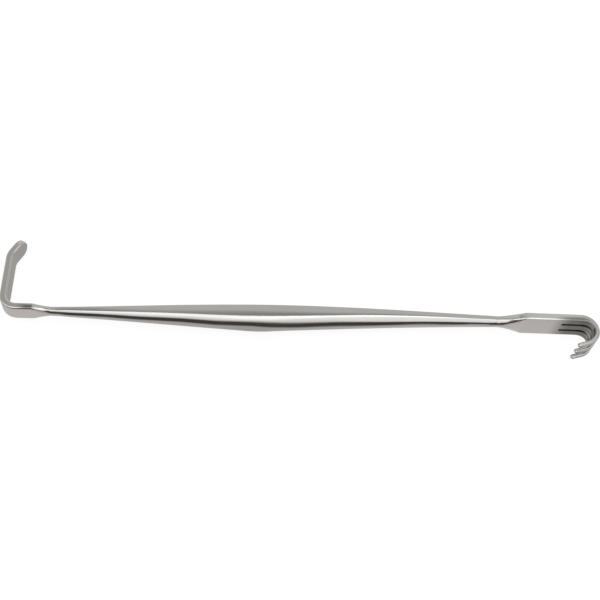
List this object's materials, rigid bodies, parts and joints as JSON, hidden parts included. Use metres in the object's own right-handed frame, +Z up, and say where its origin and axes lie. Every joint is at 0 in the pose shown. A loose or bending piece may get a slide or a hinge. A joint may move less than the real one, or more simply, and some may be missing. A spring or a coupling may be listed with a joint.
{
  "type": "surgical retractor",
  "caption": "Handheld surgical retractor: a slim spindle handle with a right-angle tongue blade at one end and a curled blunt rake at the other.",
  "frame": {"origin": "middle of the bounding box at its lowest face, with the retractor lying on its side", "axes": "+X along the handle from the blade to the rake, +Y the way the blade rises, +Z up, across the width of the strips"},
  "size_m": [0.16, 0.0308, 0.0079],
  "materials": {
    "steel": "satin, brushed lengthwise"
  },
  "bodies": {
    "root": {"retractor": "steel"}
  },
  "joints": []
}
